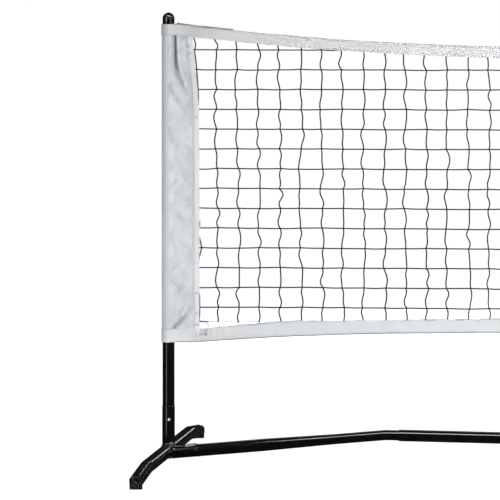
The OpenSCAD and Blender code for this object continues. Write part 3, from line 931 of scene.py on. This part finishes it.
def polyline_field(u, z, points):
    """Signed distance from each (u, z) to a polyline in millimetres, and how far along it, 0 to 1."""
    p = np.asarray(points, float) * MM
    best = np.full(u.shape, 1e9)
    along = np.zeros(u.shape)
    lengths = np.linalg.norm(np.diff(p, axis=0), axis=1)
    run = 0
    for a, b, length in zip(p[:-1], p[1:], lengths):
        d = (b - a) / length
        t = np.clip((u - a[0]) * d[0] + (z - a[1]) * d[1], 0, length)
        dist = np.hypot(u - a[0] - t * d[0], z - a[1] - t * d[1])
        side = np.where(d[0] * (z - a[1]) - d[1] * (u - a[0]) < 0, -1, 1)
        near = dist < np.abs(best)
        best = np.where(near, side * dist, best)
        along = np.where(near, (run + t) / lengths.sum(), along)
        run += length
    return best, along


DEEP = 9                        # a crease this deep, in mm, gets the full painted shade


def crease(u, z, points, depth, width, lip, lean):
    """A fold pressed in along a line: how far it moves the cloth, and how deep in it each point lies, which
    sets its painted shade.

    One side of it, by lean, is steep and the other a gentle slope; the lips are raised.
    """
    d, t = polyline_field(u, z, points)
    strength = np.interp(t, (0, 0.12, 0.4, 0.8, 1), (0.85, 1, 0.9, 0.45, 0.0))
    w = width * MM * np.interp(t, (0, 1), (1.0, 1.5)) * np.where(d > 0, 1 - lean, 1 + lean)
    d = np.abs(d)
    pressed = np.exp(-((d / w) ** 2)) * strength
    lips = lip * np.exp(-(((d - 2.1 * w) / (1.1 * w)) ** 2)) * strength
    return (lips - pressed) * depth * MM, pressed * depth / DEEP


# folds of the left sleeve's front: line of (s, z) in mm, depth, width, share of lip, lean
FRONT_CREASES = (
    (((14.5, 904), (15.5, 868), (17, 842), (20, 812), (29, 788), (42, 768), (52, 760)),
     9.5, 4.0, 0.30, 0.50),
    (((7, 276), (16, 287), (31, 304), (44, 321), (52, 330)), 7.0, 3.1, 0.70, 0.20),
    (((36, 874), (38, 850), (44, 822), (52, 800)), 1.2, 3.6, 0.4, 0.0),
    (((8, 770), (24, 742), (40, 716), (51, 700)), 1.4, 4.5, 0.4, 0.0),
    (((14, 421), (34, 422), (50, 418)), 0.9, 1.8, 0.4, 0.0),
    (((12, 352), (22, 362), (38, 384), (50, 398)), 1.5, 4.0, 0.4, 0.0),
    (((14, 640), (26, 610), (44, 588)), 1.2, 5.0, 0.3, 0.0),
    (((12, 520), (28, 505), (48, 498)), 0.9, 5.0, 0.3, 0.0),
)
TAPE_W = 11.6 * MM
SLEEVE_CLOTH = 0.8 * MM
HEM_HALF = 1.5 * MM
LEAST_HALF = HEM_HALF * 0.8     # the sleeve's two faces never come nearer to its middle than this
POLE_CLEAR = POLE_R + 1.0 * MM
TONGUE_END = HEM_S - 2 * MM
HEM_LIP = 0.9 * MM              # how far the tape reaches past the hem's edge
TAPE_SHARES = (1.0, 0.92, 0.5, 0.15, 0.04)
# bar-tacks, dense short stitches across the tape: height, width and length in mm
BAR_TACKS = ((353, 7, 1.6), (313, 6, 1.6), (289, 11, 3.6), (268, 2, 14), (720, 8, 1.6))
SIM_SCALE = 10                  # the cloth is worked at ten times its size, where the solver is steady
SIM_FRAMES = 18
SIM_GROWTH = 0.03
SIM_CAP = 4.5 * MM


def settle(obj, held):
    """Cloth simulation of a sheet that grows a little between its held seams: how each point moves."""
    mesh = obj.data
    start = np.zeros(len(mesh.vertices) * 3)
    mesh.vertices.foreach_get("co", start)
    mesh.vertices.foreach_set("co", start * SIM_SCALE)
    obj.vertex_groups.new(name="held").add(np.flatnonzero(held).tolist(), 1.0, "REPLACE")
    cloth = obj.modifiers.new("cloth", "CLOTH")
    rules = cloth.settings
    rules.quality = 6
    rules.mass = 0.3
    rules.tension_stiffness = rules.compression_stiffness = 18
    rules.shear_stiffness = 6
    rules.bending_stiffness = 0.6
    rules.air_damping = 2
    rules.shrink_min = -SIM_GROWTH
    rules.effector_weights.gravity = 0
    rules.vertex_group_mass = "held"
    cloth.collision_settings.use_collision = False
    cloth.point_cache.frame_start, cloth.point_cache.frame_end = 1, SIM_FRAMES
    for f in range(1, SIM_FRAMES + 1):
        bpy.context.scene.frame_set(f)
    moved = np.zeros(start.size)
    obj.evaluated_get(bpy.context.evaluated_depsgraph_get()).data.vertices.foreach_get("co", moved)
    bpy.context.scene.frame_set(1)
    shift = (moved / SIM_SCALE - start).reshape(-1, 3)
    size = np.linalg.norm(shift, axis=1, keepdims=True)
    return shift * np.minimum(1, SIM_CAP / np.maximum(size, 1e-9))


class Sleeve:
    """A cloth tube round a pole, drawn out to a flat tongue that is sewn to the netting's edge."""

    def __init__(self, side, sign, seed):
        self.side, self.sign, self.seed = side, sign, seed
        self.zs = np.linspace(NET_LOW + 0.3 * MM, NET_TOP - 0.3 * MM, 190)

    def rippled(self, y, belly, s, zs, way):
        """A face's half width y with its broad and its fine ripples added, fullest where belly is 1."""
        y = y + belly * 1.3 * MM * wander(zs + 0.6 * s, self.seed + 2 + way, 5, 0.30)
        return y + belly * 0.6 * MM * wander(zs - 0.9 * s, self.seed + 5 + way, 8, 0.16)

    def face(self, s, way, creased):
        """Points down the sleeve at base distance s, on its front (-1) or back (1) face.

        Each row is x, y, z and the point's painted shade: from the crease it lies in, and darker towards the
        top.
        """
        zs = self.zs
        t = np.clip((s - TONGUE_FROM) / (TONGUE_END - TONGUE_FROM), 0, 1)
        u = s + (hem_s(zs) - TONGUE_END) * t
        y = self.rippled(loop_y(np.full(len(zs), s)), math.sin(math.pi * t), u, zs, way)
        # painted shade, darker towards the sleeve's top
        dark = CORNER_PAINTED_SHADE / 2 * smooth((zs - NET_TOP + 0.28) / 0.2)
        main = way < 0 and self.sign > 0
        creases = FRONT_CREASES if main else FRONT_CREASES[:6]
        for points, depth, width, lip, lean in creases if creased else ():
            if not main:
                shift = 9.0 * way
                points = [(p + 0.4 * shift, q - (shift if q > 600 else -2 * shift)) for p, q in points]
                depth, width = depth * 0.6, width * 1.3
            move, deep = crease(u, zs, points, depth, width, lip, lean)
            y = y + move * smooth(t * 8)
            dark = np.maximum(dark, deep * smooth(t * 8))
        # under the bands the cloth is held down to the loop's plain shape
        open_run = np.minimum(NET_TOP - TOP_H - zs, zs - NET_LOW - LOW_H)
        loose = smooth((open_run + 2 * MM) / (12 * MM))
        y = y - np.clip(y - loop_y(np.full(len(zs), s)), 0, None) * (1 - loose)
        keep = np.sqrt(np.clip(POLE_CLEAR ** 2 - u * u, 0, None))
        y = np.maximum(y, np.maximum(keep, LEAST_HALF))
        return np.stack([self.sign * (u - HALF), way * y, under_band(zs, u), dark], 1)

    def round_pole(self, a):
        x = self.sign * (SLEEVE_R * math.cos(a) - HALF)
        ones = np.ones(len(self.zs))
        return np.stack([x * ones, -SLEEVE_R * math.sin(a) * ones, self.zs, 0 * ones], 1)

    def sheet(self, creased):
        stops = np.linspace(TONGUE_END, TONGUE_FROM, 43)
        columns = [self.face(s, -1, creased) for s in stops]
        columns += [self.round_pole(math.radians(a)) for a in np.linspace(78, 282, 25)[1:-1]]
        columns += [self.face(s, 1, creased) for s in stops[::-1]]
        return np.vstack(columns)

    def build(self):
        sheet = self.sheet(True)
        co = sheet[:, :3]
        rows = len(self.zs)
        faces = grid_faces(len(co) // rows, rows)
        co += self.crumple(faces)
        self.keep_clear(co)
        obj = mesh_object(f"{self.side}_sleeve_cloth", co, faces)
        # the attribute carries the painted shade to the cloth's material
        obj.data.attributes.new("crease", "FLOAT", "POINT").data.foreach_set("value", sheet[:, 3])
        thicken(obj, SLEEVE_CLOTH)
        finish_piece(obj, "net", SLEEVE_FABRIC, (f"{self.side}_sleeve",))

    def crumple(self, faces):
        """How the sheet moves when it is let buckle between the bands, the hem and the pole's back."""
        co = self.sheet(False)[:, :3]
        s, z = self.sign * co[:, 0] + HALF, co[:, 2]
        held = (z > NET_TOP - TOP_H - 2 * MM) | (z < NET_LOW + LOW_H) | (s > HEM_S - TAPE_W - 5 * MM)
        held |= s < TONGUE_FROM
        obj = mesh_object("loose_sheet", co, faces)
        shift = settle(obj, held)
        bpy.data.objects.remove(obj)
        return shift

    def keep_clear(self, co):
        """Pushes the sheet's points off the pole and keeps its two faces apart."""
        s = self.sign * co[:, 0] + HALF
        least = np.sqrt(np.clip(POLE_CLEAR ** 2 - s * s, LEAST_HALF ** 2, None))
        beside = s > -POLE_R / 2
        way = np.where(np.arange(len(co)) < len(co) / 2, -1, 1)
        co[beside, 1] = (way * np.maximum(least, way * co[:, 1]))[beside]

    def tape(self):
        """The hem tape, folded over the sleeve's edge, and its stitches and bar-tacks."""
        zs = np.linspace(NET_LOW + 0.8 * MM, NET_TOP - 1.5 * MM, 150)
        bumps = 0.22 * MM * wander(zs, self.seed + 9, 40, 0.5)
        columns = []
        across = [(-1, t) for t in TAPE_SHARES] + [(0, 0)] + [(1, t) for t in TAPE_SHARES[::-1]]
        for way, share in across:
            edge = hem_s(zs) + HEM_LIP + bumps
            s = edge - share * TAPE_W
            base = self.surface(s, way, zs) if way else np.zeros(len(zs))
            swell = 0.25 * MM * math.sin(math.pi * share) + (0.35 * MM if share < 1 else 0)
            y = way * (base + SLEEVE_CLOTH / 2 + swell) if way else base
            columns.append(np.stack([self.sign * (s - HALF), y, under_band(zs, s)], 1))
        faces = grid_faces(len(columns), len(zs))
        obj = mesh_object(f"{self.side}_hem_tape", np.vstack(columns), faces)
        thicken(obj, 0.6 * MM)
        finish_piece(obj, "net", TAPE)
        self.stitching()

    def surface(self, s, way, zs):
        """Half width of the sleeve's face at (s, z): the tongue without its small folds."""
        u = (s - TONGUE_FROM) / (hem_s(zs) - TONGUE_FROM) * (TONGUE_END - TONGUE_FROM) + TONGUE_FROM
        t = np.clip((u - TONGUE_FROM) / (TONGUE_END - TONGUE_FROM), 0, 1)
        return np.maximum(self.rippled(loop_y(u), np.sin(np.pi * t), s, zs, way), HEM_HALF)

    def stitching(self):
        tubes, tacks = Tubes(), Tubes()
        zs = np.arange(NET_LOW + 3 * MM, NET_TOP - TOP_H, 3 * MM)
        for way in (-1, 1):
            for inset in (1.6, 9.9):
                s = hem_s(zs) + HEM_LIP - inset * MM
                y = way * (self.surface(s, way, zs) + SLEEVE_CLOTH / 2 + 0.95 * MM)
                path = np.stack([self.sign * (s - HALF), y, zs], 1)
                tubes.stitches(path, 4.4 * MM, 3.1 * MM, 0.38 * MM)
            for z, wide, tall in BAR_TACKS:
                z = z * MM
                for k in range(max(3, int(tall / 1.1))):
                    zz = z + (k - tall / 2.2) * 1.1 * MM
                    mid = hem_s(zz) - 5.4 * MM
                    s = np.array([mid - wide / 2 * MM, mid + wide / 2 * MM])
                    y = way * (self.surface(s, way, np.full(2, zz)) + SLEEVE_CLOTH / 2 + 1.15 * MM)
                    path = np.stack([self.sign * (s - HALF), y, np.full(2, zz)], 1)
                    tacks.stitches(path, 1.9 * MM, 1.7 * MM, 0.42 * MM)
        finish_piece(tubes.build(f"{self.side}_hem_stitching"), "net", THREAD)
        finish_piece(tacks.build(f"{self.side}_hem_tacks"), "net", TACKS)


for seed_, (side_, sign_) in enumerate(SIDES):
    sleeve_ = Sleeve(side_, sign_, 20 + 10 * seed_)
    sleeve_.build()
    sleeve_.tape()

# ---- Corner ties ----


def build_tie(side, sign):
    """Two strands of pale twine, twisted: through the eyelet, round the hem, knotted in front."""
    front = -(2.2 * MM + CLOTH / 2 + 1.6 * MM)
    out, e, h = front / MM, EYELET_S, EYELET_Z
    spine = np.array([
        (e, 4.2, h), (e, 0, h), (e + 0.2 * MM, out, h), (e - 3 * MM, out - 1.0, h - 0.8 * MM),
        (67.5 * MM, out - 0.6, h - 1.5 * MM), (66.5 * MM, out - 0.4, h + 0.6 * MM),
        (71 * MM, out - 0.9, h + 3.4 * MM), (77 * MM, out - 1.1, h + 6.0 * MM),
        (82.5 * MM, out - 0.3, h + 8.0 * MM), (84 * MM, out + 1.2, h + 14 * MM),
        (82 * MM, -1.4, LAST_ROW + 0.4 * MM),
    ])
    spine = np.stack([sign * (spine[:, 0] - HALF), spine[:, 1] * MM, spine[:, 2]], 1)
    t = np.linspace(0, 1, len(spine))
    fine = np.linspace(0, 1, 90)
    path = np.stack([np.interp(fine, t, spine[:, k]) for k in range(3)], 1)
    kernel = np.ones(5) / 5
    inner = np.stack([np.convolve(path[:, k], kernel, "valid") for k in range(3)], 1)
    path = np.vstack([path[:1], inner, path[-1:]])
    tubes = Tubes()
    tangent = unit(np.gradient(path, axis=0))
    helper = np.tile(np.array([0.3, 0.5, 0.8]), (len(path), 1))
    u = unit(np.cross(tangent, helper))
    v = np.cross(tangent, u)
    turn = np.linspace(0, 2 * np.pi * 9, len(path))
    for phase in (0, np.pi):
        strand = path + 0.5 * MM * (np.cos(turn + phase)[:, None] * u + np.sin(turn + phase)[:, None] * v)
        tubes.cord(strand, 0.55 * MM, 7)
    ball = ball_template(2)
    knot_at = path[-1] + np.array([0, -0.4 * MM, 0])
    tubes.lump(knot_at, np.array([1.9, 1.6, 1.7]) * MM, ball)
    tubes.lump(path[0] + np.array([0, 1.0 * MM, 0]), np.array([1.9, 1.3, 1.9]) * MM, ball)
    finish_piece(tubes.build(f"{side}_tie_twine"), "net", TWINE, (f"{side}_tie",))


for side_, sign_ in SIDES:
    build_tie(side_, sign_)

# ---- Welds and socket lips ----


def rail_point(along, radius, a):
    """A point on a circle round the end rail's axis: a = 0 at the top, 90 degrees at the front."""
    up, out = radius * math.cos(a), radius * math.sin(a)
    s = along * math.cos(RAIL_RISE) - up * math.sin(RAIL_RISE)
    return s, -out, RAIL_Z + along * math.sin(RAIL_RISE) + up * math.cos(RAIL_RISE)


def build_frame_details(side, sign, seed):
    rng = np.random.default_rng(seed)
    ball = ball_template()
    welds, lips = Tubes(), Tubes()
    turns = np.linspace(0, 2 * np.pi, 72, endpoint=False)

    def placed(s, y, z):
        return np.array([sign * (s - HALF), y, z])

    def bead(tubes, path, radius):
        ripple = 1 + 0.14 * np.sin(np.arange(len(path)) * 2.1) + rng.normal(0, 0.05, len(path))
        tubes.cord(path, radius * ripple, 8, closed=True)

    # where the upright socket stands on the foot tube
    reach = SOCKET_R + 0.4 * MM
    path = [
        placed(reach * math.cos(a), reach * math.sin(a),
               FOOT_Z + math.sqrt((FOOT_R + 0.5 * MM) ** 2 - (reach * math.cos(a)) ** 2))
        for a in turns
    ]
    bead(welds, path, 1.5 * MM)
    # where the rail socket meets the foot tube
    path = []
    for a in turns:
        up = (SOCKET_R + 0.3 * MM) * math.cos(a)
        y = -(SOCKET_R + 0.3 * MM) * math.sin(a)
        axis_z = RAIL_Z + FOOT_R * math.sin(RAIL_RISE)
        z = axis_z + up
        s = math.sqrt(max((FOOT_R + 0.4 * MM) ** 2 - (z - FOOT_Z) ** 2, (3 * MM) ** 2))
        path.append(placed(s, y, z))
    bead(welds, path, 1.4 * MM)
    # bare steel: the bead's end and a small crater in the front corner, rubbed down to it, and a raised ridge
    # along the rail socket's top
    rubbed = Tubes()
    crater_s, crater_z, crater_r = 9.0 * MM, FOOT_Z + 13.0 * MM, 4.2 * MM
    crater = [
        placed(crater_s + crater_r * math.cos(a), -SOCKET_R - 1.2 * MM, crater_z + crater_r * math.sin(a))
        for a in turns[::3]
    ]
    rubbed.cord(crater, 0.9 * MM, 8, closed=True)
    hollow = placed(crater_s, -SOCKET_R - 0.4 * MM, crater_z)
    rubbed.lump(hollow, np.array([3.0, 1.2, 3.0]) * MM, ball)
    for a, low, high, out in ((0.0, 40, 61, 1.0), (0.25, 37, 60, 0.2), (0.50, 36, 57, -0.4)):
        path = [placed(*rail_point(d * MM, SOCKET_R + out * MM, a)) for d in np.arange(low, high, 1.5)]
        rubbed.cord(path, 1.45 * MM + rng.normal(0, 0.15 * MM, len(path)), 8)
    # rounded lips at the sockets' mouths
    mouth = SOCKET_R - 0.45 * MM
    ring = [placed(mouth * math.cos(a), mouth * math.sin(a), SOCKET_TOP) for a in turns]
    lips.cord(ring, 0.75 * MM, 8, closed=True)
    end = RAIL_SOCKET_END / math.cos(RAIL_RISE)
    for back, wider, thick in ((0.3, -0.15, 0.8), (3.2, 0.05, 0.45)):
        path = [placed(*rail_point(end - back * MM, SOCKET_R + wider * MM, a)) for a in turns]
        lips.cord(path, thick * MM, 8, closed=True)
    finish_piece(welds.build(f"{side}_weld_beads"), "frame", WORN_PAINT)
    finish_piece(lips.build(f"{side}_socket_lips"), "frame", WORN_PAINT)
    finish_piece(rubbed.build(f"{side}_rubbed_weld"), "frame", STEEL)


for seed_, (side_, sign_) in enumerate(SIDES):
    build_frame_details(side_, sign_, 60 + seed_)

# ---- Stage, light and camera ----


def area(name, place, aim, width, height, power, use, tint=(1.0, 1.0, 1.0)):
    """A soft rectangle of light, unseen by the camera.

    "shade" lights are left out of mirror rays, "gleam" lights of matt ones.
    """
    light = bpy.data.lights.new(name, "AREA")
    light.energy = power
    light.color = tint
    light.shape = "RECTANGLE"
    light.size, light.size_y = width, height
    obj = add_object(name, light)
    obj.location = place
    obj.rotation_mode = "QUATERNION"
    obj.rotation_quaternion = (Vector(aim) - Vector(place)).to_track_quat("-Z", "Y")
    obj.visible_camera = False
    obj.visible_diffuse = use != "gleam"
    obj.visible_glossy = use != "shade"


WORLD_DARK, WORLD_BRIGHT, WORLD_MIRROR = 0.07, 0.25, 0.02
FLOOR_HALF = 160
CAMERA_PLACE = (0, -6.29, 1.235)
LENS = 217.1
LENS_SHIFT = (("shift_x", -1.2752), ("shift_y", -0.759))


def build_world():
    """Studio surround: white to the camera, brightest from the front right, dim to mirror rays."""
    world = bpy.data.worlds.new("studio")
    world.use_nodes = True
    tree = world.node_tree
    back = tree.nodes["Background"]
    back.inputs[0].default_value = (0.985, 0.995, 1.0, 1)
    paths = tree.nodes.new("ShaderNodeLightPath").outputs
    coords = tree.nodes.new("ShaderNodeTexCoord")
    lean = tree.nodes.new("ShaderNodeVectorMath")
    lean.operation = "DOT_PRODUCT"
    lean.inputs[1].default_value = Vector((0.60, -0.75, 0.05)).normalized()
    tree.links.new(coords.outputs["Generated"], lean.inputs[0])

    def step(value, low, high):
        n = tree.nodes.new("ShaderNodeMapRange")
        tree.links.new(value, n.inputs[0])
        for key, level in (("To Min", low), ("To Max", high)):
            if isinstance(level, bpy.types.NodeSocket):
                tree.links.new(level, n.inputs[key])
            else:
                n.inputs[key].default_value = level
        return n

    glow = step(lean.outputs["Value"], WORLD_DARK, WORLD_BRIGHT)
    glow.inputs["From Min"].default_value = -1
    dimmed = step(paths["Is Glossy Ray"], glow.outputs[0], WORLD_MIRROR)
    seen = step(paths["Is Camera Ray"], dimmed.outputs[0], 1.0)
    tree.links.new(seen.outputs[0], back.inputs[1])
    bpy.context.scene.world = world


def build_stage():
    corners = [(FLOOR_HALF * x, FLOOR_HALF * y, 0) for x, y in ((-1, -1), (1, -1), (1, 1), (-1, 1))]
    floor = mesh_object("floor", corners, [(0, 1, 2, 3)])
    floor.data.materials.append(floor_material())
    area("front_key", (0.6, -1.8, 1.3), (-1.0, 0, 0.6), 1.5, 1.0, 72, "shade", (1.0, 0.995, 0.985))
    area("back_key", (-0.6, 2.4, 1.3), (0.4, 0, 0.6), 2.0, 1.2, 95, "shade")
    for _, sign in SIDES:
        area("low_fill", (-1.6 * sign, -1.1, 0.14), (-1.5 * sign, 0, 0.4), 1.2, 0.2, 4, "shade")
        area("end_fill", (-3.6 * sign, 0.1, 0.9), (-1.5 * sign, 0, 0.5), 1.0, 1.2, 14, "shade")
        area("pole_strip", (-3.25 * sign, -3.1, 1.3), (-1.5 * sign, 0, 0.5), 0.22, 2.2, 45, "gleam")
        area("back_strip", (-0.78 * sign, 3.8, 1.5), (-1.5 * sign, 0, 0.1), 0.09, 1.9, 4.0, "gleam")
        area("pole_glint", (-1.636 * sign, -0.267, 0.26), (-1.5 * sign, 0, 0.26), 0.05, 0.5, 0.36, "gleam")
    area("rail_strip", (0, -2.25, 4.2), (0, 0, 0), 4.9, 0.45, 290, "gleam")
    area("back_top_strip", (0, 2.4, 2.3), (0, 0, 0), 6.0, 0.3, 30, "gleam")


def build_camera():
    data = bpy.data.cameras.new("camera")
    data.sensor_width = 36
    data.lens = LENS
    data.clip_end = 400
    cam = add_object("camera", data)
    cam.location = CAMERA_PLACE
    cam.rotation_mode = "QUATERNION"
    cam.rotation_quaternion = Vector((0, 1, 0)).to_track_quat("-Z", "Y")
    bpy.context.scene.camera = cam
    # The lens shift holds only while the camera stands in its own place, so other views are centred.
    for path, shift in LENS_SHIFT:
        curve = data.driver_add(path)
        for modifier in list(curve.modifiers):
            curve.modifiers.remove(modifier)
        driver = curve.driver
        driver.type = "SUM"
        var = driver.variables.new()
        var.name = "y"
        var.type = "TRANSFORMS"
        var.targets[0].id = cam
        var.targets[0].transform_type = "LOC_Y"
        var.targets[0].transform_space = "WORLD_SPACE"
        for at, value in ((-6.5, 0), (-6.4, shift), (-6.2, shift), (-6.1, 0)):
            curve.keyframe_points.insert(at, value).interpolation = "LINEAR"


build_world()
build_stage()
build_camera()
bpy.context.scene.view_settings.view_transform = "Standard"
bpy.context.view_layer.update()
